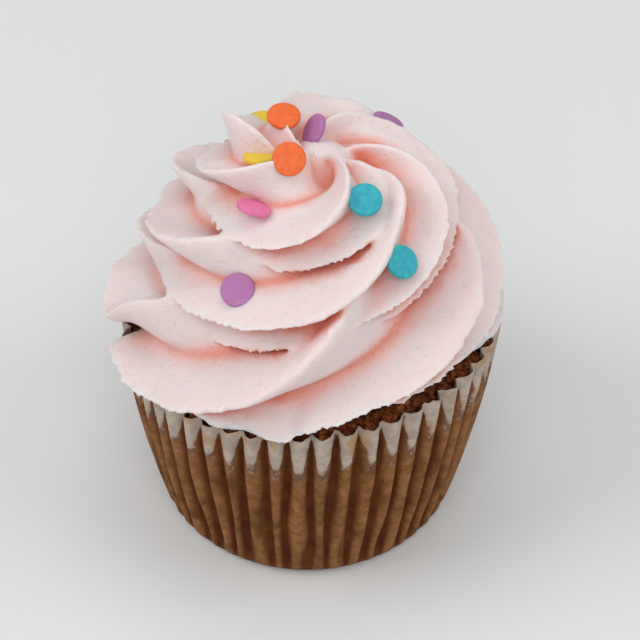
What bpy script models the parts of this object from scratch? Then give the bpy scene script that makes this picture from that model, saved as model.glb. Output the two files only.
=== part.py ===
"""Cupcake: fluted paper case, sponge and one piped swirl of frosting.

Metres, +Z up. The case stands on its flat base at the origin.
"""
import math

import bmesh
import bpy
import numpy as np

MM = 0.001

# Paper case
PLEATS = 50
BASE_RADIUS = 24.9
RIM_RADIUS = 33.0         # out to the crests of the flutes
WALL_HEIGHT = 40.6
WALL_BULGE = 1.0          # how far the wall swells at half height
CORNER_HEIGHT = 3.0
CORNER_TUCK = 1.8         # how far the wall turns in where it meets the base
FLUTE_DEPTH_LOW = 1.3     # crest to valley at the base and at the rim
FLUTE_DEPTH_HIGH = 2.1
FLUTE_ROUND_LOW = 0.4     # height of a flute's flank, as a share of its depth
FLUTE_ROUND_HIGH = 0.75
PAPER = 0.5
LEAN_DEG = 6.5            # the rim stands higher on the +X side

# Sponge
GAP = 0.3
SPONGE_FLOOR = 1.2
DOME_RADIUS = 29.8
DOME_RISE = 5.0
DOME_FOOT = 2.2           # how far below the rim the dome starts

# Swirl: one rope from a six-point star nozzle. Each station is
# (degrees along the rope, path radius, height, rope radius, ridge lead in degrees).
STATIONS = (
    (90, 22.0, 42.0, 14.5, 2.0),
    (180, 20.0, 40.5, 17.5, -5.5),
    (270, 19.0, 48.5, 16.5, 4.5),
    (450, 15.3, 54.5, 14.0, 11.5),
    (630, 15.5, 61.0, 12.5, -4.0),
    (810, 10.5, 68.5, 10.0, -5.5),
    (990, 8.5, 69.5, 12.0, 2.5),
    (1170, 0.5, 67.5, 14.5, -2.5),
)
RIDGES = 6
RIDGE_START_DEG = 220.0
ROPE_FLATNESS = 0.74
ROPE_OFFSET_X = 0.6
GROOVE_RATIO = 0.62       # groove radius over ridge radius
CREST_SPARE = 0.4         # the remeshing rounds a crest off by about this much
ROPE_START_DEG = 10.0
ROPE_END_DEG = 1140.0
START_TAPER_DEG = 30.0
END_TAPER_DEG = 150.0
LEAN_OVER = (9.0, -5.0, -20.0, -7.5)   # how the soft ridges sag around the rope
UNEVEN = {-1: -23, 1: 18, 2: 2, 5: -9, 6: 17, 7: 2, 10: -3, 11: -15, 12: 10}
VOXEL = 0.8
FROSTING_SHARE = 0.085    # share of the faces kept by the decimation


def fresh_scene():
    for obj in list(bpy.data.objects):
        bpy.data.objects.remove(obj, do_unlink=True)


def collection(name):
    group = bpy.data.collections.new(name)
    bpy.context.scene.collection.children.link(group)
    return group


def material(name, colour, roughness):
    mat = bpy.data.materials.new(name)
    mat.use_nodes = True
    shader = mat.node_tree.nodes["Principled BSDF"]
    shader.inputs["Base Color"].default_value = (*colour, 1.0)
    shader.inputs["Roughness"].default_value = roughness
    shader.inputs["Metallic"].default_value = 0.0
    return mat


def lean(x, y, z):
    """Raise the +X side in step with height, so the rim tips and the base stays flat."""
    slope = math.tan(math.radians(LEAN_DEG))
    return x, y, z + x * slope * z / WALL_HEIGHT


def add_object(name, mesh, group, mat=None, smooth=True):
    obj = bpy.data.objects.new(name, mesh)
    group.objects.link(obj)
    if mat:
        mesh.materials.append(mat)
    for poly in mesh.polygons:
        poly.use_smooth = smooth
    return obj


def loft(name, rows, close_ends):
    """Skin equal rings of points; rows has the shape (rings, points, 3)."""
    rings, points, _ = rows.shape
    verts = [tuple(p * MM) for ring in rows for p in ring]
    faces = []
    for i in range(rings - 1):
        for j in range(points):
            k = (j + 1) % points
            faces.append((i * points + j, i * points + k,
                          (i + 1) * points + k, (i + 1) * points + j))
    if close_ends:
        for ring, flip in ((0, True), (rings - 1, False)):
            centre = len(verts)
            verts.append(tuple(rows[ring].mean(axis=0) * MM))
            for j in range(points):
                a, b = ring * points + j, ring * points + (j + 1) % points
                faces.append((centre, b, a) if flip else (centre, a, b))
    mesh = bpy.data.meshes.new(name)
    mesh.from_pydata(verts, [], faces)
    mesh.update()
    return mesh


def revolved(name, profile, steps):
    """Spin a profile of (radius, height) around Z, then lean it with the case."""
    bm = bmesh.new()
    verts = [bm.verts.new((r, 0.0, z)) for r, z in profile]
    edges = [bm.edges.new(pair) for pair in zip(verts, verts[1:])]
    bmesh.ops.spin(bm, geom=verts + edges, cent=(0, 0, 0), axis=(0, 0, 1),
                   angle=math.tau, steps=steps, use_merge=True)
    bmesh.ops.remove_doubles(bm, verts=bm.verts, dist=0.001)
    for v in bm.verts:
        v.co = [c * MM for c in lean(*v.co)]
    bmesh.ops.recalc_face_normals(bm, faces=bm.faces)
    mesh = bpy.data.meshes.new(name)
    bm.to_mesh(mesh)
    bm.free()
    return mesh


def wall_radius(z):
    """Radius of the case at the crests of its flutes, at a height."""
    u = z / WALL_HEIGHT
    tuck = CORNER_TUCK * max(0.0, 1.0 - z / CORNER_HEIGHT) ** 2
    return BASE_RADIUS + (RIM_RADIUS - BASE_RADIUS) * u + WALL_BULGE * 4 * u * (1 - u) - tuck


def mix(low, high, z):
    return low + (high - low) * z / WALL_HEIGHT


def flute_depth(z):
    return mix(FLUTE_DEPTH_LOW, FLUTE_DEPTH_HIGH, z) * min(1.0, 0.25 + z / CORNER_HEIGHT)


def case_ring(z, inset):
    """One ring of the fluted wall: four points a flute, crest, flank, valley, flank."""
    flank = mix(FLUTE_ROUND_LOW, FLUTE_ROUND_HIGH, z)
    ring = []
    for i in range(PLEATS * 4):
        angle = math.tau * i / (PLEATS * 4)
        height = (1.0, flank, 0.0, flank)[i % 4]
        r = wall_radius(z) - inset - flute_depth(z) * (1.0 - height)
        ring.append(lean(r * math.cos(angle), r * math.sin(angle), z))
    return ring


def plain_ring(radius, z):
    """A round ring with as many points as a ring of the wall."""
    angles = [math.tau * i / (PLEATS * 4) for i in range(PLEATS * 4)]
    return [lean(radius * math.cos(a), radius * math.sin(a), z) for a in angles]


def paper_case(group, mat):
    levels = (1.0, CORNER_HEIGHT, WALL_HEIGHT * 0.5, WALL_HEIGHT)
    base = plain_ring(wall_radius(0.0) - 0.8, 0.0)
    outer = [case_ring(z, 0.0) for z in levels]
    inner = [case_ring(z, PAPER) for z in (levels[3], levels[2], levels[1])]
    floor = plain_ring(wall_radius(1.0) - flute_depth(1.0) - PAPER, PAPER)
    rows = np.array([base] + outer + inner + [floor])
    return add_object("paper_case", loft("paper_case", rows, True), group, mat, smooth=False)


def dome_profile(lift):
    """Top of the sponge from the edge to the axis, raised by lift."""
    foot = WALL_HEIGHT - DOME_FOOT + lift
    points = []
    for angle in np.linspace(0.0, math.pi / 2, 7):
        points.append((DOME_RADIUS * math.cos(angle), foot + DOME_RISE * math.sin(angle)))
    points[-1] = (0.0, points[-1][1])
    return points


def sponge(group, mat):
    def inside(z):
        return wall_radius(z) - flute_depth(z) - PAPER - GAP

    foot = WALL_HEIGHT - DOME_FOOT
    side = [(inside(SPONGE_FLOOR) - 1.2, SPONGE_FLOOR)]
    side += [(inside(z), z) for z in (CORNER_HEIGHT, foot * 0.33, foot * 0.66)]
    profile = [(0.0, SPONGE_FLOOR)] + side + dome_profile(0.0)
    mesh = revolved("sponge", profile, 40)
    return add_object("sponge", mesh, group, mat)


def spline(x, y, at):
    """Natural cubic spline through the points (x, y), read at the given places."""
    h = np.diff(x)
    slope = np.diff(y) / h
    system = np.eye(len(x))
    right = np.zeros(len(x))
    for i in range(1, len(x) - 1):
        system[i, i - 1:i + 2] = h[i - 1], 2 * (h[i - 1] + h[i]), h[i]
        right[i] = 6 * (slope[i] - slope[i - 1])
    bend = np.linalg.solve(system, right)
    i = np.clip(np.searchsorted(x, at) - 1, 0, len(h) - 1)
    t = at - x[i]
    first = slope[i] - h[i] * (2 * bend[i] + bend[i + 1]) / 6
    return y[i] + t * (first + t * (bend[i] / 2 + t * (bend[i + 1] - bend[i]) / (6 * h[i])))


def fade(t):
    t = np.clip(t, 0.0, 1.0)
    return t * t * (3 - 2 * t)


def ridge_height(section, travel, lead):
    """1 on a ridge, 0 in a groove, for angles around the rope at one place along it."""
    u = np.radians(np.arange(-450.0, 451.0, 1.0))
    a, b, c, d = LEAN_OVER
    sagged = np.degrees(u) + a * np.sin(u) + b * np.cos(u) + c * np.sin(2 * u) + d * np.cos(2 * u)
    upright = np.interp(section, sagged, np.degrees(u))
    numbers = np.arange(-8, 28)
    places = np.array([RIDGE_START_DEG + 360.0 / RIDGES * n + UNEVEN.get(n, 0) for n in numbers])
    count = np.interp(travel + lead - upright, places, numbers)
    return 1 - 2 * np.abs((count + 0.5) % 1.0 - 0.5)


def rope_rows(step_along, points_around):
    table = np.array(STATIONS, float).T
    along = np.arange(ROPE_START_DEG, ROPE_END_DEG + 1e-6, step_along)
    radius, height, size, lead = (spline(table[0], column, along) for column in table[1:])
    size = size * (0.35 + 0.65 * fade((along - ROPE_START_DEG) / START_TAPER_DEG))
    size = size * (0.12 + 0.88 * fade((ROPE_END_DEG - along) / END_TAPER_DEG))
    section = np.linspace(-180.0, 180.0, points_around, endpoint=False)
    rows = np.zeros((len(along), points_around, 3))
    for i, travel in enumerate(along):
        ridge = ridge_height(section, travel, lead[i])
        reach = size[i] * (GROOVE_RATIO + (1 - GROOVE_RATIO) * ridge) + CREST_SPARE * ridge
        out = radius[i] + reach * np.cos(np.radians(section))
        angle = math.radians(travel)
        rows[i, :, 0] = ROPE_OFFSET_X + out * math.cos(angle)
        rows[i, :, 1] = out * math.sin(angle)
        rows[i, :, 2] = height[i] + reach * ROPE_FLATNESS * np.sin(np.radians(section))
    return rows


def core_mesh():
    """Frosting that fills the middle of the swirl."""
    bm = bmesh.new()
    bmesh.ops.create_uvsphere(bm, u_segments=32, v_segments=20, radius=1.0)
    for v in bm.verts:
        v.co = (v.co.x * 15.0 * MM, v.co.y * 15.0 * MM, (48.0 + v.co.z * 15.0) * MM)
    mesh = bpy.data.meshes.new("frosting_core")
    bm.to_mesh(mesh)
    bm.free()
    return mesh


def seat_cutter(group):
    """Everything below the frosting: the sponge top and the rim, both with a gap."""
    rim = WALL_HEIGHT + GAP
    dome = [p for p in dome_profile(GAP) if p[1] > rim][::-1]
    far = 50.0
    profile = dome + [(DOME_RADIUS - 1.5, rim), (far, rim), (far, -5.0), (0.0, -5.0)]
    mesh = revolved("seat_cutter", profile, 64)
    cutter = add_object("seat_cutter", mesh, group)
    cutter.hide_render = True
    cutter.display_type = "WIRE"
    return cutter


def frosting(group, cutters, mat):
    rope = loft("rope", rope_rows(5.0, 120), True)
    bm = bmesh.new()
    bm.from_mesh(rope)
    bmesh.ops.recalc_face_normals(bm, faces=bm.faces)
    bm.from_mesh(core_mesh())
    mesh = bpy.data.meshes.new("frosting")
    bm.to_mesh(mesh)
    bm.free()
    obj = add_object("frosting", mesh, group, mat)
    remesh = obj.modifiers.new("skin", "REMESH")
    remesh.mode = "VOXEL"
    remesh.voxel_size = VOXEL * MM
    remesh.use_smooth_shade = True
    thin = obj.modifiers.new("thin", "DECIMATE")
    thin.ratio = FROSTING_SHARE
    seat = obj.modifiers.new("seat", "BOOLEAN")
    seat.operation = "DIFFERENCE"
    seat.solver = "EXACT"
    seat.object = seat_cutter(cutters)
    return obj


def build():
    fresh_scene()
    parts = collection("cupcake")
    cutters = collection("cutters")
    paper_case(parts, material("case_paper", (0.33, 0.20, 0.11), 0.6))
    sponge(parts, material("sponge_crumb", (0.12, 0.045, 0.02), 0.9))
    frosting(parts, cutters, material("frosting_pink", (0.86, 0.66, 0.62), 0.5))


build()
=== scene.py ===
"""Looks of a frosted cupcake: fluted case, dark sponge, piped swirl and confetti.

Metres, +Z up. Sizes below are in millimetres and are turned into metres when a mesh is made.
"""
import math

import bmesh
import bpy
import numpy as np
from mathutils import Matrix, Vector
from mathutils.bvhtree import BVHTree
from mathutils.kdtree import KDTree


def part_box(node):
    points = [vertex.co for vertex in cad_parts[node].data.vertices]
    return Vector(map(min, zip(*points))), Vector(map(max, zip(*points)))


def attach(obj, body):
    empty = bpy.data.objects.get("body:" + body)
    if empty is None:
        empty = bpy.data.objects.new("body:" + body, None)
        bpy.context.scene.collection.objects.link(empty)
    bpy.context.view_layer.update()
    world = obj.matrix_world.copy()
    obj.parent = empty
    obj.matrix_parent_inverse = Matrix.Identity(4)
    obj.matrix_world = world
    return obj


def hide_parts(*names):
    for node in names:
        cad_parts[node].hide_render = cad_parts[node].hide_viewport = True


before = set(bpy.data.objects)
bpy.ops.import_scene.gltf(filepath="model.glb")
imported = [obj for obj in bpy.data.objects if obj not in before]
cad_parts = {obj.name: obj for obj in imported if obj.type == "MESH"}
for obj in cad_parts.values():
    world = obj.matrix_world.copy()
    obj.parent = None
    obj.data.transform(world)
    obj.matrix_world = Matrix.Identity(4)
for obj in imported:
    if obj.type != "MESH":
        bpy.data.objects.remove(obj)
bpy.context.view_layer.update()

MM = 0.001

# Paper case
FLUTES = 50
RIM_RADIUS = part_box("paper_case")[1][0] / MM
BASE_RADIUS = RIM_RADIUS - 7.4
BASE_SHIFT = -0.9          # how far the foot sits to the side of the rim
WALL_HEIGHT = 40.6
WALL_BULGE = 1.0
CORNER_HEIGHT = 3.0
CORNER_TUCK = 1.2
FLUTE_DEPTH_LOW = 1.3
FLUTE_DEPTH_HIGH = 2.5
PAPER = 0.22
LEAN_DEG = 5.2
DRY_RIM = 8.2              # how far the clean paper reaches down from the rim
AROUND = 10 * FLUTES       # points around the case and around the sponge
WALL_ROWS = 76
WELD = 0.01                # points nearer than this become one
CREST_POWER = 0.58         # below 1 a fold is round at its crest, above 1 it is narrow
CREST_POWER_GAIN = 1.3     # what the power gains from the rim to the base
CORNER_FADE = 2.2          # corner heights over which the folds reach their full depth
FOLD_SHARE = 0.9           # mean depth of a fold as a share of the depths above
CRINKLE_LEVEL = 0.78       # share of the height where the paper is most crinkled
CRINKLE_BAND = 0.13
CRINKLE_DEPTHS = (0.30, 0.05)    # in that band, and away from it
LIP_POWER = 12.0           # how closely the wavy edge keeps to the rim
LIP_DROP = 0.2

# Unevenness of the paper: (lumps around, lumps up, seed, strength)
WANDER = (6.0, 0.2, 3.0, 0.55)          # folds drift aside towards the base
JITTER = (17.0, 0.10, 9.0, 0.24)        # each fold a little out of step
FOLD_DEPTHS = (9.0, 0.6, 5.0, 0.25)
CRINKLES = (26.0, 2.2, 1.0, 1.0)
DENTS = (3.0, 1.0, 2.0, 0.15)
LIP_WAVES = (30.0, 0.2, 4.0, 0.35)

# Sponge
SPONGE_FLOOR = 1.2
DOME_RADIUS = 30.3
DOME_RISE = 5.6
DOME_FOOT = 1.6
GAP = 0.15
SPONGE_ROWS = 90
SPONGE_BASE_RADIUS = 23.0
SIDE_SHARE = 0.45          # share of the rows that run up the side
SIDE_START = 0.035         # where the side starts and how far it rises, as shares of the wall
SIDE_RISE = 0.93
TOP_SHARE = 0.918          # radius of the round top as a share of the rim's
TOP_BLEND = 0.12           # share of the way in over which the folds fade out
DOME_EXTRA = 1.3
OPEN_CRUMB = (30.0, 36.0)  # heights between which the crumb opens
CRUMB_GRAIN = 420.0
CRUMB_LEVEL = 0.62         # coarse noise above this stands out, and below it is a hole
CRUMB_GAIN = 4.0
CRUMB_FACING = 0.2         # loose crumbs lie where the top faces up by more than this
CRUMB_SCALES = (0.35, 1.5)
CRUMB_SPIN = (6.3, 6.3, 6.3)
BIT_GRAIN = 1800.0         # fine noise that makes each loose crumb ragged
BIT_DEPTH = 0.6

# Seat, the solid that the frosting rests on
LEDGE = (38.5, 33.6)       # radius of the seat, and where frosting hangs over the rim
HANGING = (219.0, 33.0)    # direction and half width in degrees of the part that hangs over
HANGING_FADE = 5.0         # degrees over which the seat changes its radius
SEAT_MARGIN = 1.0
SEAT_BOTTOM = -5.0
SEAT_POINTS = 24
SEAT_STEPS = 144

# Swirl: (degrees along the rope, path radius, height, rope radius, ridge lead in degrees)
STATIONS = (
    (90, 22.0, 42.0, 14.5, 2.0),
    (180, 20.0, 40.5, 17.5, -5.5),
    (270, 19.0, 48.5, 16.5, 4.5),
    (450, 15.3, 54.5, 14.0, 11.5),
    (630, 15.5, 61.0, 12.5, -4.0),
    (810, 10.5, 68.5, 10.0, -5.5),
    (990, 8.5, 69.5, 12.0, 2.5),
    (1170, 0.5, 67.5, 14.5, -2.5),
)
RIDGES = 6
RIDGE_START_DEG = 220.0
ROPE_FLATNESS = 0.74
ROPE_OFFSET_X = 0.6
GROOVE_RATIO = 0.43
ROPE_START_DEG = 10.0
ROPE_END_DEG = 1140.0
ROPE_STEP_DEG = 0.75
ROPE_POINTS = 360          # points around the rope
START_TAPER_DEG = 30.0
START_SIZE = 0.35          # size of the rope's start, and of its end, as a share
END_TAPER_DEG = 150.0
END_SIZE = 0.12
THIN_ROPE = (7.5, 4.5)     # a rope smaller than this loses its grooves, over this range
LEAN_OVER = (9.0, -5.0, -20.0, -7.5)    # how the soft ridges sag around the rope
# degrees that a crest sits from its even place
UNEVEN = {-1: -23, 1: 18, 2: 2, 5: -9, 6: 17, 7: 2, 10: -3, 11: -15, 12: 10}
DEEP_GROOVES = {5: 0.36, 11: 0.22}      # groove ratio above these ridges
SAGS = (  # (ridge, degrees along the rope where it starts, is most and ends, drop, push out)
    (-1, 160, 183, 198, 4.8, 0.0),
    (0, 175, 191, 224, -1.5, 0.8),
    (0, 250, 290, 335, -3.2, 0.0),
    (1, 205, 228, 250, -5.5, 3.8),
    (1, 236, 262, 268, 1.6, 0.0),
    (2, 240, 280, 308, -2.6, 0.0),
    (2, 312, 342, 400, 3.0, 0.0),
    (3, 322, 356, 400, 3.3, 0.0),
    (3, 305, 342, 385, 0.0, 2.5),
    (4, 480, 510, 540, 1.5, 3.8),
    (5, 480, 503, 528, 1.0, 3.0),
    (6, 664, 690, 732, -2.6, 3.2),
    (7, 560, 600, 640, 3.0, 0.0),
    (8, 722, 762, 806, 1.6, -0.8),
    (9, 768, 787, 808, -1.5, 0.0),
    (10, 850, 884, 912, -2.9, 0.0),
    (10, 893, 913, 936, 2.6, 0.0),
    (13, 950, 975, 1010, 1.6, 0.3),
)
CREST_ROUND = 0.11
CREST_EDGE = (0.80, 0.20)  # nearness to a crest where the teeth start, and their range
TIP_EDGE = (0.35, 0.6)     # the same for what a sag moves
RAGGED = 0.36              # depth of the torn teeth along a crest
TOOTH = 1.25               # spacing of the torn teeth
TOOTH_BIAS = 0.2
TOOTH_FACING = (12.0, 0.15, 0.6)    # teeth are on the outer side: turn, offset and range
RIDGE_STEP = 0.37          # what parts the noise of one ridge from the next
FINE_TEETH = (0.6, 2.3)    # strength and rate of the finer teeth
PATCHES = (0.72, 0.4, 0.12)    # mean, strength and rate of how torn a stretch is
WAVES = (0.3, 0.25)        # depth and rate of the slow waves along a crest
CORE_BALLS = ((15.0, (0.0, 0.0, 48.0)), (7.4, (1.1, 1.7, 66.6)))    # radius and middle
BALL_SEGMENTS = (48, 32)
LUMPS = ((0.16, 7.0, 1), (0.05, 2.4, 2))    # height, spacing and seed
UNDERSIDE = -0.8           # faces that point down more than this rest on the seat
SOFTEN_PASSES = 2
CREST_PASSES = 14
CREST_HEIGHT = 0.35        # how far a full crest stands above its smoothed self
FROSTING_VOXEL = 0.36
FROSTING_TRIANGLES = 180000

# Confetti discs
DISC_RADIUS = 2.8
DISC_THICK = 1.0
DISC_EDGE = 0.3
DISC_SEGMENTS = 40

# Studio: places in metres, power in watts
SKY = (0.96, 0.98, 1.0, 1.0)
SKY_STRENGTH = 0.37
FLOOR_SIZE = 3.0
LIGHT_SIZE = 0.8
LIGHT_AIM = (0.0, 0.0, 0.05)
LIGHTS = (
    ("front", (0.0, -0.85, 0.85), 3.9),
    ("left", (-0.85, -0.20, 0.85), 4.7),
    ("right", (0.85, -0.20, 0.85), 3.1),
    ("overhead", (0.0, 0.25, 1.15), 2.0),
)
CAMERA_TARGET = (1.37, 0.0, 37.2)
CAMERA_TILT_DEG = 42.5
CAMERA_DISTANCE = 450.0
CAMERA_LENS = 146.25
CAMERA_SENSOR = 36.0

HASH = (73856093, 19349663, 83492791)    # large primes that scatter the noise's lattice
NOISE_VALUES = 4096


# ---------------------------------------------------------------- meshes

def mesh_from_grid(name, rows):
    """Mesh of quads between equal closed rings, with both ends capped."""
    rings, around, _ = rows.shape
    ends = [rows[0].mean(axis=0), rows[-1].mean(axis=0)]
    verts = np.vstack([rows.reshape(-1, 3), ends]) * MM
    i, j = np.meshgrid(np.arange(rings - 1), np.arange(around), indexing="ij")
    k = (j + 1) % around
    quads = np.stack([i * around + j, i * around + k,
                      (i + 1) * around + k, (i + 1) * around + j], -1).reshape(-1, 4)
    j = np.arange(around)
    k = (j + 1) % around
    last = (rings - 1) * around
    fans = np.vstack([
        np.stack([np.full(around, rings * around), k, j], -1),
        np.stack([np.full(around, rings * around + 1), last + j, last + k], -1)])
    mesh = bpy.data.meshes.new(name)
    mesh.vertices.add(len(verts))
    mesh.vertices.foreach_set("co", verts.ravel())
    mesh.loops.add(quads.size + fans.size)
    mesh.loops.foreach_set("vertex_index", np.concatenate([quads.ravel(), fans.ravel()]))
    mesh.polygons.add(len(quads) + len(fans))
    starts = np.concatenate([np.arange(len(quads)) * 4, quads.size + np.arange(len(fans)) * 3])
    mesh.polygons.foreach_set("loop_start", starts)
    mesh.update(calc_edges=True)
    mesh.validate()
    return mesh


def shade_smooth(mesh):
    mesh.polygons.foreach_set("use_smooth", [True] * len(mesh.polygons))


def add_piece(name, mesh, mat=None):
    """Put a mesh into the scene as a smooth object at the origin."""
    obj = bpy.data.objects.new(name, mesh)
    bpy.context.scene.collection.objects.link(obj)
    if mat:
        mesh.materials.clear()
        mesh.materials.append(mat)
    shade_smooth(mesh)
    return obj


def settle(obj):
    """Apply the modifiers of a piece to its mesh."""
    graph = bpy.context.evaluated_depsgraph_get()
    mesh = bpy.data.meshes.new_from_object(obj.evaluated_get(graph))
    obj.modifiers.clear()
    obj.data = mesh
    mesh.name = obj.name
    return obj


def in_order(mesh):
    """The same mesh with its faces in a fixed order, so that every run thins it alike."""
    faces = []
    for face in mesh.polygons:
        ring = list(face.vertices)
        first = ring.index(min(ring))
        faces.append(ring[first:] + ring[:first])
    ordered = bpy.data.meshes.new(mesh.name)
    ordered.from_pydata([v.co for v in mesh.vertices], [], sorted(faces))
    return ordered


def lean(x, y, z):
    """Raise a point on the +X side, more the higher it is."""
    slope = math.tan(math.radians(LEAN_DEG))
    return x, y, z + x * slope * z / WALL_HEIGHT


def points_of(mesh):
    flat = np.zeros(len(mesh.vertices) * 3)
    mesh.vertices.foreach_get("co", flat)
    return flat.reshape(-1, 3)


def normals_of(mesh):
    flat = np.zeros(len(mesh.vertices) * 3)
    mesh.vertex_normals.foreach_get("vector", flat)
    return flat.reshape(-1, 3)


def set_points(mesh, points):
    mesh.vertices.foreach_set("co", points.ravel())
    mesh.update()


def edges_of(mesh):
    flat = np.zeros(len(mesh.edges) * 2, dtype=np.int32)
    mesh.edges.foreach_get("vertices", flat)
    return flat.reshape(-1, 2)


def smoothed(points, edges, passes, strength=0.5):
    """Points drawn towards the mean of their neighbours, several times."""
    a, b = edges[:, 0], edges[:, 1]
    count = np.bincount(a, minlength=len(points)) + np.bincount(b, minlength=len(points))
    count = np.maximum(count, 1)[:, None]
    for _ in range(passes):
        total = np.stack([np.bincount(a, points[b, c], len(points))
                          + np.bincount(b, points[a, c], len(points)) for c in range(3)], -1)
        points = points + strength * (total / count - points)
    return points


def add_attribute(mesh, name, values):
    layer = mesh.attributes.new(name, "FLOAT", "POINT")
    layer.data.foreach_set("value", values.astype(np.float32))


def fade(t):
    """Smooth step from 0 to 1."""
    t = np.clip(t, 0.0, 1.0)
    return t * t * (3 - 2 * t)


def lattice_noise(points, size, seed):
    """Smooth noise from -1 to 1 at each point, with lumps of the given size."""
    rng = np.random.default_rng(seed)
    table = rng.uniform(-1, 1, NOISE_VALUES)
    cell = points / size
    base = np.floor(cell).astype(np.int64)
    part = fade(cell - base)
    total = np.zeros(len(points))
    for dx in (0, 1):
        for dy in (0, 1):
            for dz in (0, 1):
                key = ((base[:, 0] + dx) * HASH[0] ^ (base[:, 1] + dy) * HASH[1]
                       ^ (base[:, 2] + dz) * HASH[2])
                weight = (np.abs(1 - dx - part[:, 0]) * np.abs(1 - dy - part[:, 1])
                          * np.abs(1 - dz - part[:, 2]))
                total += weight * table[key % NOISE_VALUES]
    return total


# ---------------------------------------------------------------- frosting

def spline(x, y, at):
    """Natural cubic spline through the points (x, y), read at the given places."""
    h = np.diff(x)
    slope = np.diff(y) / h
    system = np.eye(len(x))
    right = np.zeros(len(x))
    for i in range(1, len(x) - 1):
        system[i, i - 1:i + 2] = h[i - 1], 2 * (h[i - 1] + h[i]), h[i]
        right[i] = 6 * (slope[i] - slope[i - 1])
    bend = np.linalg.solve(system, right)
    i = np.clip(np.searchsorted(x, at) - 1, 0, len(h) - 1)
    t = at - x[i]
    first = slope[i] - h[i] * (2 * bend[i] + bend[i + 1]) / 6
    return y[i] + t * (first + t * (bend[i] / 2 + t * (bend[i + 1] - bend[i]) / (6 * h[i])))


def ridge_count(section, travel, lead):
    """Ridge number, whole on a crest, for angles around the rope at one place along it."""
    u = np.radians(np.arange(-450.0, 451.0, 1.0))
    a, b, c, d = LEAN_OVER
    sagged = np.degrees(u) + a * np.sin(u) + b * np.cos(u) + c * np.sin(2 * u) + d * np.cos(2 * u)
    upright = np.interp(section, sagged, np.degrees(u))
    numbers = np.arange(-8, 28)
    places = np.array([RIDGE_START_DEG + 360.0 / RIDGES * n + UNEVEN.get(n, 0) for n in numbers])
    return np.interp(travel + lead - upright, places, numbers)


def wavering(table, row, spot):
    """Smooth run of random values, one whole number of spot apart."""
    low = int(spot)
    return table[row, low] + (table[row, low + 1] - table[row, low]) * fade(spot - low)


def rope_rows(step_along, points_around):
    """Rings of the piped rope with torn crests, and how near each point is to a crest."""
    table = np.array(STATIONS, float).T
    along = np.arange(ROPE_START_DEG, ROPE_END_DEG + 1e-6, step_along)
    radius, height, size, lead = (spline(table[0], column, along) for column in table[1:])
    start = fade((along - ROPE_START_DEG) / START_TAPER_DEG)
    end = fade((ROPE_END_DEG - along) / END_TAPER_DEG)
    size = size * (START_SIZE + (1 - START_SIZE) * start)
    size = size * (END_SIZE + (1 - END_SIZE) * end)
    thin = fade((THIN_ROPE[0] - size) / THIN_ROPE[1])
    length = np.cumsum((np.abs(radius) + size) * math.radians(step_along))
    noise = np.random.default_rng(7).uniform(-1, 1, (40, 3000))
    section = np.linspace(-180.0, 180.0, points_around, endpoint=False)
    half = math.pi / RIDGES
    rows = np.zeros((len(along), points_around, 3))
    ridges = np.zeros((len(along), points_around))
    for i, travel in enumerate(along):
        count = ridge_count(section, travel, lead[i])
        number = np.round(count).astype(int)
        ridges[i] = ridge = 1 - 2 * np.abs(count - number)
        crest = fade((ridge - CREST_EDGE[0]) / CREST_EDGE[1])
        tooth = np.zeros(points_around)
        drop = np.zeros(points_around)
        push = np.zeros(points_around)
        groove = np.full(points_around, GROOVE_RATIO + (1 - GROOVE_RATIO) * thin[i])
        for n in np.unique(number):
            here = number == n
            spot = length[i] / TOOTH + n * RIDGE_STEP
            strength, rate = FINE_TEETH
            torn = wavering(noise, n, spot) + strength * wavering(noise, n + 1, rate * spot)
            mean, strength, rate = PATCHES
            patch = mean + strength * wavering(noise, n + 2, rate * spot)
            strength, rate = WAVES
            tooth[here] = (RAGGED * patch * (torn - TOOTH_BIAS)
                           + strength * wavering(noise, n + 3, rate * spot))
            for ridge_number, first, most, last, lower, outer in SAGS:
                if ridge_number == n:
                    way = min((travel - first) / (most - first), (last - travel) / (last - most))
                    drop[here] += lower * fade(way)
                    push[here] += outer * fade(way)
        for n, ratio in DEEP_GROOVES.items():
            groove[np.floor(count) == n] = ratio
        slant = half * (np.sqrt((1 - ridge) ** 2 + CREST_ROUND ** 2) - CREST_ROUND)
        flat = groove * math.sin(half) / (np.sin(slant) + groove * np.sin(half - slant))
        turn, offset, span = TOOTH_FACING
        outward = fade((np.cos(np.radians(section + turn)) + offset) / span)
        reach = size[i] * flat + tooth * crest * outward * min(1.0, size[i] / 10.0)
        tip = fade((ridge - TIP_EDGE[0]) / TIP_EDGE[1])
        out = radius[i] + reach * np.cos(np.radians(section)) + push * tip
        angle = math.radians(travel)
        rows[i, :, 0] = ROPE_OFFSET_X + out * math.cos(angle)
        rows[i, :, 1] = out * math.sin(angle)
        rows[i, :, 2] = (height[i] + reach * ROPE_FLATNESS * np.sin(np.radians(section))
                         - drop * tip)
    return rows, ridges


def revolved(name, profile, steps):
    """Spin a profile of (radius, height) around Z, then lean it with the case."""
    bm = bmesh.new()
    verts = [bm.verts.new((r, 0.0, z)) for r, z in profile]
    edges = [bm.edges.new(pair) for pair in zip(verts, verts[1:])]
    bmesh.ops.spin(bm, geom=verts + edges, cent=(0, 0, 0), axis=(0, 0, 1),
                   angle=math.tau, steps=steps, use_merge=True)
    bmesh.ops.remove_doubles(bm, verts=bm.verts, dist=0.001)
    for v in bm.verts:
        v.co = [c * MM for c in lean(*v.co)]
    bmesh.ops.recalc_face_normals(bm, faces=bm.faces)
    mesh = bpy.data.meshes.new(name)
    bm.to_mesh(mesh)
    bm.free()
    return mesh


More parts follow.
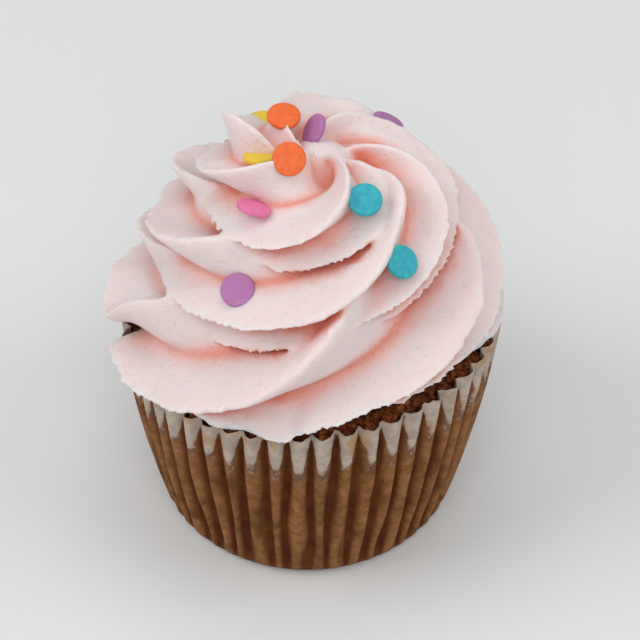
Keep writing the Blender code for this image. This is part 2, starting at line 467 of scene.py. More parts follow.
def dome_profile(lift, points):
    """Top of the sponge from the edge to the axis, raised by lift."""
    foot = WALL_HEIGHT - DOME_FOOT + lift
    angles = np.linspace(0.0, math.pi / 2, points)
    profile = [(DOME_RADIUS * math.cos(a), foot + DOME_RISE * math.sin(a)) for a in angles]
    profile[-1] = (0.0, foot + DOME_RISE)
    return profile


def seat():
    """Solid of everything that the frosting rests on."""
    rim = WALL_HEIGHT + GAP
    wide, narrow = LEDGE
    dome = [p for p in dome_profile(GAP, SEAT_POINTS) if p[1] > rim][::-1]
    block = [(wide, rim), (wide, SEAT_BOTTOM), (0.0, SEAT_BOTTOM)]
    mesh = revolved("seat", dome + block, SEAT_STEPS)
    points = points_of(mesh)
    middle, half = HANGING
    outer = np.hypot(points[:, 0], points[:, 1]) > (DOME_RADIUS + SEAT_MARGIN) * MM
    away = np.abs(np.degrees(np.arctan2(points[:, 1], points[:, 0])) % 360.0 - middle)
    inward = 1 - (1 - narrow / wide) * fade((half - away) / HANGING_FADE)
    points[:, :2] *= np.where(outer, inward, 1.0)[:, None]
    set_points(mesh, points)
    return add_piece("seat", mesh)


def core():
    """Frosting that fills the middle of the swirl."""
    bm = bmesh.new()
    around, upwards = BALL_SEGMENTS
    for radius, middle in CORE_BALLS:
        place = Matrix.Translation(Vector(middle) * MM)
        bmesh.ops.create_uvsphere(bm, u_segments=around, v_segments=upwards,
                                  radius=radius * MM, matrix=place)
    mesh = bpy.data.meshes.new("core")
    bm.to_mesh(mesh)
    bm.free()
    return mesh


def nook_depth(mesh, points, normals, edges, every=4, rays=24, reach=13.0):
    """How closed-in each point is, from 0 in the open to 1 deep in a nook."""
    tree = BVHTree.FromPolygons([v.co for v in mesh.vertices],
                                [p.vertices for p in mesh.polygons])
    steps = np.arange(rays) + 0.5
    height = np.sqrt(1 - steps / rays)
    side = np.sqrt(steps / rays)
    turn = steps * math.pi * (3 - math.sqrt(5))
    fan = np.stack([side * np.cos(turn), side * np.sin(turn), height], -1)
    value = np.zeros(len(points))
    weight = np.zeros(len(points))
    for i in range(0, len(points), every):
        normal = normals[i]
        across = np.cross(normal, (0.0, 0.0, 1.0) if abs(normal[2]) < 0.9 else (1.0, 0.0, 0.0))
        across /= np.linalg.norm(across)
        frame_here = np.stack([across, np.cross(normal, across), normal])
        start = points[i] + normal * (0.08 * MM)
        closed = 0.0
        for way in fan @ frame_here:
            distance = tree.ray_cast(start, way, reach * MM)[3]
            if distance is not None:
                closed += 1 - distance / (reach * MM)
        value[i] = closed / rays
        weight[i] = 1.0
    pair = smoothed(np.stack([value, weight, weight], -1), edges, 9, 0.6)
    return pair[:, 0] / np.maximum(pair[:, 1], 1e-6)


def groove_lines(points, rows, ridge):
    """How near each point is to the bottom of a groove of the rope, from 0 to 1."""
    tree = KDTree(rows.size // 3)
    for i, row in enumerate(rows.reshape(-1, 3)):
        tree.insert(row * MM, i)
    tree.balance()
    ridge = ridge.ravel()
    return np.array([1 - ridge[tree.find(p)[1]] for p in points])


def frosting_swirl(mat):
    """The rope and its core made one skin, cut to the seat, softened and thinned."""
    rows, ridge = rope_rows(ROPE_STEP_DEG, ROPE_POINTS)
    rope = mesh_from_grid("rope", rows)
    bm = bmesh.new()
    bm.from_mesh(rope)
    bm.from_mesh(core())
    mesh = bpy.data.meshes.new("frosting_swirl")
    bm.to_mesh(mesh)
    bm.free()
    obj = add_piece("frosting_swirl", mesh)
    remesh = obj.modifiers.new("skin", "REMESH")
    remesh.mode = "VOXEL"
    remesh.voxel_size = FROSTING_VOXEL * MM
    base = seat()
    cut = obj.modifiers.new("seat", "BOOLEAN")
    cut.operation = "DIFFERENCE"
    cut.solver = "MANIFOLD"
    cut.object = base
    settle(obj)
    bpy.data.objects.remove(base, do_unlink=True)
    obj.data = mesh = in_order(obj.data)
    points = points_of(mesh)
    normals = normals_of(mesh)
    lumps = sum(high * lattice_noise(points / MM, apart, seed) for high, apart, seed in LUMPS)
    free = (normals[:, 2] > UNDERSIDE)[:, None]
    moved = smoothed(points, edges_of(mesh), SOFTEN_PASSES) + normals * (lumps * MM)[:, None]
    set_points(mesh, np.where(free, moved, points))
    thin = obj.modifiers.new("thin", "DECIMATE")
    triangles = sum(len(p.vertices) - 2 for p in mesh.polygons)
    thin.ratio = min(1.0, FROSTING_TRIANGLES / triangles)
    settle(obj)
    mesh = obj.data
    points = points_of(mesh)
    normals = normals_of(mesh)
    edges = edges_of(mesh)
    near = smoothed(points, edges, CREST_PASSES)
    fine = ((near - points) * normals).sum(axis=1) / MM
    # the depth attribute sets painted shade and a painted warm glow in the nooks of the frosting
    add_attribute(mesh, "depth", nook_depth(mesh, points, normals, edges))
    # the groove attribute sets painted shade and a painted warm glow along the grooves
    add_attribute(mesh, "groove", groove_lines(points, rows[::2, ::2], ridge[::2, ::2]))
    # the crest attribute sets a painted highlight along the frosting's crests
    add_attribute(mesh, "crest", np.clip(-fine / CREST_HEIGHT, 0, 1))
    mesh.materials.clear()
    mesh.materials.append(mat)
    shade_smooth(mesh)
    return obj


# ---------------------------------------------------------------- node helpers

class Tree:
    """Adds and wires nodes in one node tree."""

    def __init__(self, tree):
        self.tree = tree

    def add(self, kind, inputs=(), **settings):
        node = self.tree.nodes.new(kind)
        for key, value in settings.items():
            setattr(node, key, value)
        pairs = inputs.items() if isinstance(inputs, dict) else enumerate(inputs)
        for key, value in pairs:
            if value is None:
                continue
            if isinstance(value, bpy.types.NodeSocket):
                self.tree.links.new(value, node.inputs[key])
            else:
                node.inputs[key].default_value = value
        return node

    def math(self, operation, a, b=None):
        return self.add("ShaderNodeMath", (a, b), operation=operation).outputs[0]

    def xyz(self, x, y, z):
        return self.add("ShaderNodeCombineXYZ", (x, y, z)).outputs[0]

    def ramp(self, value, low, high, out_low=0.0, out_high=1.0):
        """Value taken smoothly from one range to another, clamped."""
        node = self.add("ShaderNodeMapRange", (value, low, high, out_low, out_high))
        node.interpolation_type = "SMOOTHSTEP"
        return node.outputs[0]

    def blend(self, factor, a, b):
        """Mix two colours."""
        node = self.add("ShaderNodeMix", data_type="RGBA")
        for slot, value in ((0, factor), (6, a), (7, b)):
            if isinstance(value, bpy.types.NodeSocket):
                self.tree.links.new(value, node.inputs[slot])
            else:
                node.inputs[slot].default_value = value if slot == 0 else (*value, 1.0)
        return node.outputs[2]


def mottle_group():
    """Shared shader group: soft blotches of one size as a mask from 0 to 1."""
    group = bpy.data.node_groups.new("mottle", "ShaderNodeTree")
    face = group.interface
    face.new_socket("Vector", in_out="INPUT", socket_type="NodeSocketVector")
    for name, value in (("Scale", 500.0), ("Detail", 2.0), ("Low", 0.4), ("High", 0.6)):
        face.new_socket(name, in_out="INPUT", socket_type="NodeSocketFloat").default_value = value
    face.new_socket("Mask", in_out="OUTPUT", socket_type="NodeSocketFloat")
    t = Tree(group)
    given = group.nodes.new("NodeGroupInput").outputs
    noise = t.add("ShaderNodeTexNoise", {"Vector": given["Vector"], "Scale": given["Scale"],
                                         "Detail": given["Detail"], "Roughness": 0.6})
    mask = t.ramp(noise.outputs[0], given["Low"], given["High"])
    out = group.nodes.new("NodeGroupOutput")
    group.links.new(mask, out.inputs["Mask"])
    return group


MOTTLE = mottle_group()


class Finish(Tree):
    """A material with one Principled shader, and its place on the piece."""

    def __init__(self, name):
        self.mat = bpy.data.materials.new(name)
        self.mat.use_nodes = True
        super().__init__(self.mat.node_tree)
        self.shader = self.tree.nodes["Principled BSDF"]
        self.place = self.add("ShaderNodeTexCoord").outputs["Object"]

    def set(self, **values):
        for key, value in values.items():
            self.shader.inputs[key.replace("_", " ")].default_value = value

    def feed(self, name, socket):
        self.tree.links.new(socket, self.shader.inputs[name])

    def attribute(self, name):
        return self.add("ShaderNodeAttribute", attribute_name=name).outputs["Fac"]

    def mottle(self, scale, detail=2.0, low=0.4, high=0.6, vector=None):
        node = self.add("ShaderNodeGroup", node_tree=MOTTLE)
        self.tree.links.new(vector or self.place, node.inputs["Vector"])
        for name, value in (("Scale", scale), ("Detail", detail), ("Low", low), ("High", high)):
            node.inputs[name].default_value = value
        return node.outputs["Mask"]

    def bump(self, height, depth_mm):
        return self.add("ShaderNodeBump", {"Height": height, "Distance": depth_mm * MM,
                                           "Strength": 1.0}).outputs[0]


def frosting_finish():
    f = Finish("whipped_frosting")
    depth = f.attribute("depth")
    groove = f.attribute("groove")
    crest = f.attribute("crest")
    pale = f.blend(f.mottle(90.0, 3.0, 0.3, 0.7), (0.81, 0.69, 0.68), (0.82, 0.705, 0.70))
    # painted light by side: the painted shade is only 0.45 as strong on the left (-X) side, as if
    # that side were more lit
    across = f.add("ShaderNodeSeparateXYZ", (f.place,)).outputs["X"]
    painted_shade_by_side = f.ramp(across, -0.030, -0.012, 0.45, 1.0)
    # painted shade: the more closed-in a point, the warmer and darker its colour, standing in for
    # shade and glow in the nooks
    painted_warm_nook_shade = f.blend(f.math("MULTIPLY", f.ramp(depth, 0.10, 0.42), painted_shade_by_side), pale,
                   (0.80, 0.51, 0.465))
    deep = f.blend(f.math("MULTIPLY", f.ramp(depth, 0.30, 0.55), painted_shade_by_side), painted_warm_nook_shade,
                   (0.80, 0.31, 0.22))
    # painted shade: faces near a groove turn darker salmon, and the groove line itself darker
    # orange, as shade and glow in the grooves
    painted_groove_shade = f.blend(f.math("MULTIPLY", f.ramp(groove, 0.48, 0.97, 0.0, 0.75), painted_shade_by_side), deep,
                    (0.82, 0.43, 0.35))
    painted_groove_line_shade = f.blend(f.math("MULTIPLY", f.ramp(groove, 0.75, 1.0, 0.0, 0.7), painted_shade_by_side), painted_groove_shade,
                     (0.80, 0.27, 0.18))
    # painted highlight: crests are lightened towards a paler pink
    painted_crest_highlight = f.blend(f.math("MULTIPLY", crest, 0.2), painted_groove_line_shade, (0.84, 0.75, 0.74))
    f.feed("Base Color", painted_crest_highlight)
    f.feed("Roughness", f.ramp(f.mottle(700.0, 3.0), 0.0, 1.0, 0.46, 0.62))
    grain = f.mottle(1500.0, 3.0, 0.35, 0.7)
    pores = f.math("SUBTRACT", 1.0, f.mottle(900.0, 0.0, 0.24, 0.33))
    soft = f.mottle(260.0, 2.0, 0.2, 0.8)
    relief = f.math("ADD", f.math("MULTIPLY", grain, 0.25), f.math("MULTIPLY", soft, 0.6))
    relief = f.math("SUBTRACT", relief, f.math("MULTIPLY", pores, 0.5))
    f.feed("Normal", f.bump(relief, 0.16))
    f.set(Subsurface_Weight=0.7, Subsurface_Radius=(1.0, 0.42, 0.32), Subsurface_Scale=0.0022,
          Specular_IOR_Level=0.35, IOR=1.45)
    return f.mat


def paper_finish():
    f = Finish("baked_case_paper")
    drop = f.attribute("drop")
    crest = f.attribute("crest")
    stain = f.mottle(260.0, 3.0, 0.3, 0.7)
    streak = f.mottle(150.0, 2.0, 0.3, 0.7, f.add("ShaderNodeMapping", {
        "Vector": f.place, "Scale": (1.0, 1.0, 0.25)}).outputs[0])
    reach = f.ramp(f.math("POWER", crest, 1.4), 0.0, 1.0, 1.0, DRY_RIM)
    reach = f.math("ADD", reach, f.math("MULTIPLY", f.math("SUBTRACT", stain, 0.5), 2.2))
    reach = f.math("ADD", reach, f.math("MULTIPLY", f.math("SUBTRACT", streak, 0.5), 1.5))
    past = f.math("SUBTRACT", drop, reach)
    soak = f.ramp(past, -0.8, 0.9)
    clean = f.blend(f.mottle(400.0, 4.0), (0.41, 0.325, 0.265), (0.50, 0.41, 0.34))
    ochre = f.math("MULTIPLY", f.mottle(120.0, 2.0, 0.56, 0.68), 0.8)
    clean = f.blend(ochre, clean, (0.42, 0.24, 0.09))
    ridge = f.blend(f.mottle(600.0, 4.0, 0.3, 0.7), (0.215, 0.083, 0.022), (0.32, 0.144, 0.055))
    ridge = f.blend(f.mottle(170.0, 3.0, 0.45, 0.75), ridge, (0.125, 0.045, 0.012))
    # the folds are darker: partly paper soaked where it clings to the sponge, partly painted
    # shade in the folds
    valley_soak_and_shade = f.blend(stain, (0.084, 0.018, 0.003), (0.135, 0.038, 0.006))
    baked = f.blend(f.ramp(crest, 0.20, 0.92), valley_soak_and_shade, ridge)
    near = f.math("SUBTRACT", 1.0, f.ramp(past, 0.5, 4.5))
    band = f.math("MULTIPLY", near, f.ramp(drop, 5.0, 8.0))
    band = f.math("MULTIPLY", band, f.ramp(crest, 0.35, 0.8))
    baked = f.blend(f.math("MULTIPLY", band, f.mottle(500.0, 3.0, 0.35, 0.6)), baked,
                    (0.165, 0.088, 0.060))
    # painted highlight: small pale glints in the crinkled band; the coat is glossy on the same
    # spots
    painted_glint = f.math("MULTIPLY", f.mottle(1200.0, 1.0, 0.60, 0.66), band)
    baked = f.blend(painted_glint, baked, (0.30, 0.215, 0.165))
    f.feed("Base Color", f.blend(soak, clean, baked))
    f.feed("Roughness", f.ramp(soak, 0.0, 1.0, 0.8, 0.6))
    f.feed("Coat Weight", f.math("MULTIPLY", f.math("MULTIPLY", painted_glint, soak), 0.5))
    f.set(Coat_Roughness=0.3, Sheen_Weight=0.03, Sheen_Roughness=0.5,
          Sheen_Tint=(1.0, 0.72, 0.45, 1.0))
    crinkle = f.mottle(520.0, 4.0, 0.25, 0.75, f.add("ShaderNodeMapping", {
        "Vector": f.place, "Scale": (1.0, 1.0, 1.3)}).outputs[0])
    fibre = f.mottle(2600.0, 3.0, 0.3, 0.7)
    height = f.math("ADD", crinkle, f.math("MULTIPLY", fibre, 0.12))
    f.feed("Normal", f.bump(height, 0.06))
    f.set(Specular_IOR_Level=0.05)
    return f.mat


def sponge_finish():
    f = Finish("dark_sponge_crumb")
    crumb = f.mottle(900.0, 5.0, 0.35, 0.65)
    dark = f.blend(crumb, (0.050, 0.006, 0.001), (0.22, 0.056, 0.013))
    f.feed("Base Color", f.blend(f.mottle(350.0, 3.0, 0.55, 0.75), dark, (0.46, 0.17, 0.05)))
    f.feed("Roughness", f.ramp(crumb, 0.0, 1.0, 0.9, 0.7))
    holes = f.mottle(1300.0, 2.0, 0.35, 0.65)
    f.feed("Normal", f.bump(holes, 0.35))
    f.set(Specular_IOR_Level=0.15)
    return f.mat


def confetti_finish(name, light, dark):
    f = Finish("confetti_" + name + "_sugar")
    f.feed("Base Color", f.blend(f.mottle(900.0, 4.0, 0.3, 0.75), light, dark))
    f.feed("Roughness", f.ramp(f.mottle(1500.0, 2.0), 0.0, 1.0, 0.5, 0.7))
    f.feed("Normal", f.bump(f.mottle(1800.0, 3.0), 0.06))
    f.set(Subsurface_Weight=0.15, Subsurface_Radius=(1.0, 1.0, 1.0), Subsurface_Scale=0.0006)
    return f.mat


def floor_finish():
    f = Finish("pale_floor")
    f.feed("Base Color", f.blend(f.mottle(6.0, 2.0, 0.2, 0.8), (0.765, 0.77, 0.765),
                                 (0.78, 0.785, 0.78)))
    f.set(Roughness=0.9, Specular_IOR_Level=0.1)
    return f.mat


# ---------------------------------------------------------------- paper case

CASE_SIZES = (
    ("Flutes", float(FLUTES)), ("Rim Radius", RIM_RADIUS), ("Base Radius", BASE_RADIUS),
    ("Height", WALL_HEIGHT), ("Depth Low", FLUTE_DEPTH_LOW), ("Depth High", FLUTE_DEPTH_HIGH))


def start_tree(name, sizes):
    """New Geometry Nodes tree with a number input for each size."""
    group = bpy.data.node_groups.new(name, "GeometryNodeTree")
    face = group.interface
    face.new_socket("Geometry", in_out="OUTPUT", socket_type="NodeSocketGeometry")
    for size, value in sizes:
        kind = "NodeSocketInt" if isinstance(value, int) else "NodeSocketFloat"
        face.new_socket(size, in_out="INPUT", socket_type=kind).default_value = value
    t = Tree(group)
    return t, group.nodes.new("NodeGroupInput").outputs


def end_tree(t, parts, mat):
    """Join the parts, make them real and give them their material."""
    joined = t.add("GeometryNodeJoinGeometry")
    for part in parts:
        t.tree.links.new(part, joined.inputs[0])
    merged = t.add("GeometryNodeMergeByDistance", {"Geometry": joined.outputs[0],
                                                   "Distance": WELD * MM})
    real = t.add("GeometryNodeRealizeInstances", (merged.outputs[0],))
    done = t.add("GeometryNodeSetMaterial", {"Geometry": real.outputs[0], "Material": mat})
    out = t.tree.nodes.new("NodeGroupOutput")
    t.tree.links.new(done.outputs[0], out.inputs[0])
    return t.tree


def polar_grid(t, rows):
    """Unit grid around the case: its mesh, and its turn and rise from 0 to 1."""
    grid = t.add("GeometryNodeMeshGrid", {"Size X": 1.0, "Size Y": 1.0,
                                          "Vertices X": AROUND + 1, "Vertices Y": rows})
    at = t.add("ShaderNodeSeparateXYZ", (t.add("GeometryNodeInputPosition").outputs[0],)).outputs
    return (grid.outputs["Mesh"], t.math("ADD", at["X"], 0.5), t.math("ADD", at["Y"], 0.5))


def fluted_wall(t, given, turn, level):
    """Sockets of the pleated wall: radius, crest mask, height, and the turn's x and y."""
    m = t.math
    angle = m("MULTIPLY", turn, math.tau)
    round_x = m("COSINE", angle)
    round_y = m("SINE", angle)

    def noise(scale, squeeze, seed, strength):
        """Noise that closes around the wall, from minus to plus its strength."""
        spot = t.xyz(round_x, round_y, m("ADD", m("MULTIPLY", level, squeeze), seed))
        node = t.add("ShaderNodeTexNoise", {"Vector": spot, "Scale": scale, "Detail": 1.0})
        return m("MULTIPLY", m("SUBTRACT", node.outputs[0], 0.5), 2.0 * strength)

    rise = m("SUBTRACT", 1.0, level)
    wander = m("MULTIPLY", noise(*WANDER), rise)
    wander = m("ADD", wander, noise(*JITTER))
    phase = m("ADD", m("MULTIPLY", turn, given["Flutes"]), wander)
    wave = m("ABSOLUTE", m("COSINE", m("MULTIPLY", phase, math.pi)))
    crest = m("POWER", wave, m("ADD", CREST_POWER, m("MULTIPLY", rise, CREST_POWER_GAIN)))
    z = m("MULTIPLY", level, given["Height"])
    corner = t.ramp(z, -1.0, CORNER_HEIGHT * CORNER_FADE)
    deep = m("ADD", m("MULTIPLY", given["Depth High"], level),
             m("MULTIPLY", given["Depth Low"], rise))
    uneven = m("ADD", FOLD_SHARE, noise(*FOLD_DEPTHS))
    deep = m("MULTIPLY", m("MULTIPLY", deep, uneven), corner)
    straight = m("ADD", m("MULTIPLY", given["Rim Radius"], level),
                 m("MULTIPLY", given["Base Radius"], rise))
    bulge = m("MULTIPLY", m("MULTIPLY", level, rise), 4.0 * WALL_BULGE)
    tuck = m("MAXIMUM", m("SUBTRACT", 1.0, m("DIVIDE", z, CORNER_HEIGHT)), 0.0)
    tuck = m("MULTIPLY", m("MULTIPLY", tuck, tuck), CORNER_TUCK)
    radius = m("SUBTRACT", m("ADD", straight, bulge), tuck)
    radius = m("SUBTRACT", radius, m("MULTIPLY", deep, m("SUBTRACT", 1.0, crest)))
    apart = m("ABSOLUTE", m("SUBTRACT", level, CRINKLE_LEVEL))
    crinkle = m("MULTIPLY", noise(*CRINKLES), t.ramp(apart, 0.0, CRINKLE_BAND, *CRINKLE_DEPTHS))
    dent = m("MULTIPLY", m("ADD", crinkle, noise(*DENTS)), corner)
    radius = m("SUBTRACT", radius, m("ABSOLUTE", dent))
    lip = m("MULTIPLY", m("POWER", level, LIP_POWER), m("SUBTRACT", noise(*LIP_WAVES), LIP_DROP))
    return radius, crest, m("ADD", z, lip), z, round_x, round_y


def placed(t, radius, height, round_x, round_y):
    """Position in metres of a point of the leaning case."""
    m = t.math
    aside = m("MULTIPLY", m("SUBTRACT", 1.0, m("DIVIDE", height, WALL_HEIGHT)), BASE_SHIFT)
    x = m("ADD", m("MULTIPLY", radius, round_x), aside)
    y = m("MULTIPLY", radius, round_y)
    slope = math.tan(math.radians(LEAN_DEG)) / WALL_HEIGHT
    z = m("MULTIPLY", height, m("ADD", 1.0, m("MULTIPLY", x, slope)))
    return t.xyz(m("MULTIPLY", x, MM), m("MULTIPLY", y, MM), m("MULTIPLY", z, MM))


def stored(t, shape, values):
    """Keep named numbers on the points of a shape."""
    for name, value in values:
        store = t.add("GeometryNodeStoreNamedAttribute", data_type="FLOAT", domain="POINT")
        t.tree.links.new(shape, store.inputs["Geometry"])
        store.inputs["Name"].default_value = name
        if isinstance(value, float):
            store.inputs["Value"].default_value = value
        else:
            t.tree.links.new(value, store.inputs["Value"])
        shape = store.outputs["Geometry"]
    return shape


def case_tree(mat):
    """Geometry Nodes: a grid rolled into the fluted wall, plus its round base."""
    t, given = start_tree("fluted_case", CASE_SIZES)
    shape, turn, level = polar_grid(t, WALL_ROWS)
    radius, crest, height, z, round_x, round_y = fluted_wall(t, given, turn, level)
    shape = stored(t, shape, (("crest", crest), ("drop", t.math("SUBTRACT", given["Height"], z))))
    wall = t.add("GeometryNodeSetPosition", {
        "Geometry": shape, "Position": placed(t, radius, height, round_x, round_y)})
    foot = t.add("GeometryNodeMeshCircle", {
        "Vertices": AROUND, "Radius": (BASE_RADIUS - CORNER_TUCK) * MM},
        fill_type="TRIANGLE_FAN")
    foot = t.add("GeometryNodeSetPosition", {"Geometry": foot.outputs[0],
                                             "Offset": (BASE_SHIFT * MM, 0.0, 0.0)})
    bottom = stored(t, foot.outputs[0], (("crest", 0.4), ("drop", WALL_HEIGHT)))
    return end_tree(t, (bottom, wall.outputs[0]), mat)


def nodes_modifier(obj, group, values):
    """Put a Geometry Nodes tree on a piece, each size set by its socket's identifier."""
    modifier = obj.modifiers.new(group.name, "NODES")
    modifier.node_group = group
    names = {item.name: item.identifier for item in group.interface.items_tree
             if item.item_type == "SOCKET" and item.in_out == "INPUT"}
    for name, value in values:
        modifier[names[name]] = value


def fluted_case(mat):
    """The pleated wall and its base, turned outwards and given the paper's thickness."""
    obj = add_piece("fluted_case", bpy.data.meshes.new("fluted_case"))
    nodes_modifier(obj, case_tree(mat), CASE_SIZES)
    settle(obj)
    bm = bmesh.new()
    bm.from_mesh(obj.data)
    bmesh.ops.recalc_face_normals(bm, faces=bm.faces)
    low = min(bm.faces, key=lambda f: f.calc_center_median().z)
    if low.normal.z > 0:
        bmesh.ops.reverse_faces(bm, faces=bm.faces)
    bm.to_mesh(obj.data)
    bm.free()
    wall = obj.modifiers.new("paper", "SOLIDIFY")
    wall.thickness = PAPER * MM
    wall.offset = -1.0
    settle(obj)
    shade_smooth(obj.data)
    return obj


# ---------------------------------------------------------------- sponge

CRUMB_SIZES = (("Crumb Size", 0.42), ("Crumbs Per Area", 300000.0), ("Relief", 0.6),
               ("Inset", 0.42), ("Rise", DOME_RISE - DOME_FOOT), ("Seed", 5))


def sponge_tree(mat):
    """Geometry Nodes: cake that fills the pleats, with a rough crumb and loose crumbs."""
    t, given = start_tree("dark_sponge", CASE_SIZES + CRUMB_SIZES)
    m = t.math
    shape, turn, way = polar_grid(t, SPONGE_ROWS)
    up = m("MINIMUM", m("DIVIDE", way, SIDE_SHARE), 1.0)
    level = m("ADD", m("MULTIPLY", up, SIDE_RISE), SIDE_START)
    inward = m("MAXIMUM", m("DIVIDE", m("SUBTRACT", way, SIDE_SHARE), 1.0 - SIDE_SHARE), 0.0)
    radius, _, _, z, round_x, round_y = fluted_wall(t, given, turn, level)
    inside = m("SUBTRACT", radius, given["Inset"])
    plain = m("MULTIPLY", given["Rim Radius"], TOP_SHARE)
    rounded = t.ramp(inward, 0.0, TOP_BLEND)
    even = m("ADD", m("MULTIPLY", inside, m("SUBTRACT", 1.0, rounded)),
             m("MULTIPLY", plain, rounded))
    out = m("SUBTRACT", 1.0, inward)
    dome = m("SQRT", m("MAXIMUM", m("SUBTRACT", 1.0, m("MULTIPLY", out, out)), 0.0))
    top = m("ADD", z, m("MULTIPLY", dome, m("ADD", given["Rise"], DOME_EXTRA)))
    place = placed(t, m("MULTIPLY", even, out), top, round_x, round_y)
    body = t.add("GeometryNodeSetPosition", {"Geometry": shape, "Position": place}).outputs[0]
    under = t.add("GeometryNodeMeshCircle", {
        "Vertices": AROUND, "Radius": SPONGE_BASE_RADIUS * MM}, fill_type="TRIANGLE_FAN")
    floor = t.add("GeometryNodeSetPosition", {
        "Geometry": under.outputs[0], "Offset": (BASE_SHIFT * MM, 0.0, SPONGE_FLOOR * MM)})

    here = t.add("GeometryNodeInputPosition").outputs[0]
    normal = t.add("GeometryNodeInputNormal").outputs[0]
    low, high = OPEN_CRUMB
    upper = t.ramp(t.add("ShaderNodeSeparateXYZ", (here,)).outputs["Z"], low * MM, high * MM)
    coarse = t.add("ShaderNodeTexNoise", {"Vector": here, "Scale": CRUMB_GRAIN, "Detail": 4.0})
    lump = m("MULTIPLY", m("SUBTRACT", coarse.outputs[0], CRUMB_LEVEL),
             m("MULTIPLY", given["Relief"], CRUMB_GAIN * MM))
    push = t.add("ShaderNodeVectorMath", {0: normal, 3: m("MULTIPLY", lump, upper)},
                 operation="SCALE")
    rough = t.add("GeometryNodeSetPosition", {"Geometry": body, "Offset": push.outputs[0]})
    facing = t.add("ShaderNodeSeparateXYZ", (normal,)).outputs["Z"]
    spread = m("MULTIPLY", m("GREATER_THAN", facing, CRUMB_FACING), upper)
    spots = t.add("GeometryNodeDistributePointsOnFaces", {
        "Mesh": rough.outputs[0], "Density": m("MULTIPLY", spread, given["Crumbs Per Area"]),
        "Seed": given["Seed"]})
    bead = t.add("GeometryNodeMeshIcoSphere", {
        "Radius": m("MULTIPLY", given["Crumb Size"], MM), "Subdivisions": 1})
    small, large = CRUMB_SCALES
    size = t.add("FunctionNodeRandomValue", {2: small, 3: large, "Seed": 2}, data_type="FLOAT")
    spin = t.add("FunctionNodeRandomValue", {0: (0.0, 0.0, 0.0), 1: CRUMB_SPIN, "Seed": 3},
                 data_type="FLOAT_VECTOR")
    strewn = t.add("GeometryNodeInstanceOnPoints", {
        "Points": spots.outputs[0], "Instance": bead.outputs[0],
        "Rotation": spin.outputs[0], "Scale": size.outputs[1]})
    real = t.add("GeometryNodeRealizeInstances", (strewn.outputs[0],))
    bits = t.add("ShaderNodeTexNoise", {"Vector": here, "Scale": BIT_GRAIN, "Detail": 1.0})
    ragged = m("MULTIPLY", m("SUBTRACT", bits.outputs[0], 0.5), BIT_DEPTH * MM)
    nudge = t.add("ShaderNodeVectorMath", {0: normal, 3: ragged}, operation="SCALE")
    crumbs = t.add("GeometryNodeSetPosition", {"Geometry": real.outputs[0],
                                               "Offset": nudge.outputs[0]})
    return end_tree(t, (floor.outputs[0], rough.outputs[0], crumbs.outputs[0]), mat)


def dark_sponge(mat):
    """The cake inside the case, with its faces turned outwards."""
    obj = add_piece("dark_sponge", bpy.data.meshes.new("dark_sponge"))
    nodes_modifier(obj, sponge_tree(mat), CASE_SIZES + CRUMB_SIZES)
    settle(obj)
    bm = bmesh.new()
    bm.from_mesh(obj.data)
    bmesh.ops.recalc_face_normals(bm, faces=bm.faces)
    bm.to_mesh(obj.data)
    bm.free()
    shade_smooth(obj.data)
    return obj


# ---------------------------------------------------------------- confetti

# colour, light and dark tone, then for each disc its middle in millimetres and its facing
CONFETTI = (
    ("yellow", (0.86, 0.63, 0.05), (0.80, 0.55, 0.03), (
        ((-9.4, 14.4, 69.3), (-0.35, 0.1, 0.93)),
        ((-8.4, -1.5, 74.6), (0.0, 0.3, 0.95)))),
    ("orange", (0.92, 0.175, 0.038), (0.86, 0.13, 0.02), (
        ((-4.6, 7.2, 76.2), (0.05, -0.15, 0.98)),
        ((-3.6, -5.6, 77.5), (0.25, -0.68, 0.69)))),
    ("purple", (0.47, 0.185, 0.42), (0.43, 0.165, 0.39), (
        ((0.4, 6.1, 74.2), (-0.8, -0.15, 0.56)),
        ((12.9, 15.7, 68.3), (0.42, 0.22, 0.88)),
        ((-12.0, -18.4, 60.6), (-0.15, -0.6, 0.78)))),
    ("teal", (0.02, 0.37, 0.46), (0.045, 0.49, 0.55), (
        ((8.6, -11.8, 74.1), (0.08, -0.47, 0.88)),
        ((14.5, -18.3, 66.6), (0.48, -0.44, 0.76)))),
    ("pink", (0.82, 0.21, 0.42), (0.76, 0.17, 0.37), (
        ((-9.3, -10.2, 71.1), (0.26, 0.3, 0.92)),)),
)


def disc_mesh():
    """One pressed sugar disc with soft edges, standing on its flat side."""
    bm = bmesh.new()
    bmesh.ops.create_cone(bm, cap_ends=True, segments=DISC_SEGMENTS, radius1=DISC_RADIUS * MM,
                          radius2=DISC_RADIUS * MM, depth=DISC_THICK * MM)
    rims = [e for e in bm.edges if e.calc_face_angle(0) > 1.0]
    bmesh.ops.bevel(bm, geom=rims, offset=DISC_EDGE * MM, segments=3, profile=0.5,
                    affect="EDGES")
    mesh = bpy.data.meshes.new("disc")
    bm.to_mesh(mesh)
    bm.free()
    return mesh


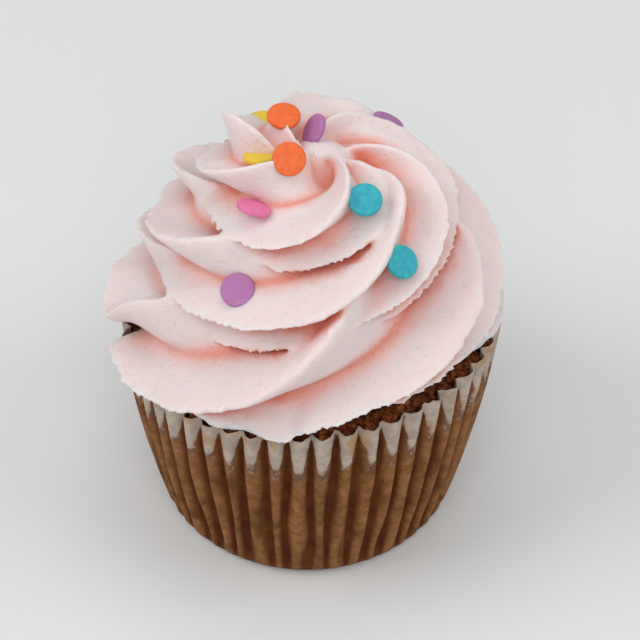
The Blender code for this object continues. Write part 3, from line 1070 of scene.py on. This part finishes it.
def confetti():
    """One piece for each colour of disc."""
    disc = disc_mesh()
    pieces = []
    for name, light, dark, discs in CONFETTI:
        bm = bmesh.new()
        for middle, facing in discs:
            turn = Vector(facing).to_track_quat("Z", "Y").to_matrix().to_4x4()
            start = len(bm.verts)
            bm.from_mesh(disc)
            bm.verts.ensure_lookup_table()
            bmesh.ops.transform(bm, matrix=Matrix.Translation(Vector(middle) * MM) @ turn,
                                verts=bm.verts[start:])
        mesh = bpy.data.meshes.new("confetti_" + name)
        bm.to_mesh(mesh)
        bm.free()
        pieces.append(add_piece("confetti_" + name, mesh, confetti_finish(name, light, dark)))
    return pieces


# ---------------------------------------------------------------- studio

def softbox(name, place, power):
    """A round soft light that points at the cupcake."""
    data = bpy.data.lights.new(name, "AREA")
    data.shape = "DISK"
    data.size = LIGHT_SIZE
    data.energy = power
    light = bpy.data.objects.new(name, data)
    light.location = place
    aim = Vector(LIGHT_AIM) - light.location
    light.rotation_euler = aim.to_track_quat("-Z", "Y").to_euler()
    bpy.context.scene.collection.objects.link(light)


def add_camera():
    tilt = math.radians(CAMERA_TILT_DEG)
    back = Vector((0.0, -math.cos(tilt), math.sin(tilt)))
    data = bpy.data.cameras.new("camera")
    data.sensor_width = CAMERA_SENSOR
    data.lens = CAMERA_LENS
    camera = bpy.data.objects.new("camera", data)
    camera.location = Vector(CAMERA_TARGET) * MM + back * (CAMERA_DISTANCE * MM)
    camera.rotation_euler = (-back).to_track_quat("-Z", "Y").to_euler()
    bpy.context.scene.collection.objects.link(camera)
    bpy.context.scene.camera = camera


def studio():
    """Pale floor, even sky, four soft lights and the camera."""
    scene = bpy.context.scene
    scene.view_settings.view_transform = "Standard"
    world = bpy.data.worlds.new("studio")
    world.use_nodes = True
    sky = world.node_tree.nodes["Background"]
    sky.inputs["Color"].default_value = SKY
    sky.inputs["Strength"].default_value = SKY_STRENGTH
    scene.world = world

    mesh = bpy.data.meshes.new("floor")
    bm = bmesh.new()
    bmesh.ops.create_grid(bm, x_segments=2, y_segments=2, size=FLOOR_SIZE)
    bm.to_mesh(mesh)
    bm.free()
    floor = add_piece("floor", mesh, floor_finish())

    for name, place, power in LIGHTS:
        softbox(name, place, power)
    add_camera()


def main():
    studio()
    frosting = frosting_swirl(frosting_finish())
    case = fluted_case(paper_finish())
    sponge = dark_sponge(sponge_finish())
    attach(frosting, "root")
    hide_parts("frosting")
    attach(case, "root")
    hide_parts("paper_case")
    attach(sponge, "root")
    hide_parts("sponge")
    for piece in confetti():
        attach(piece, "root")


main()
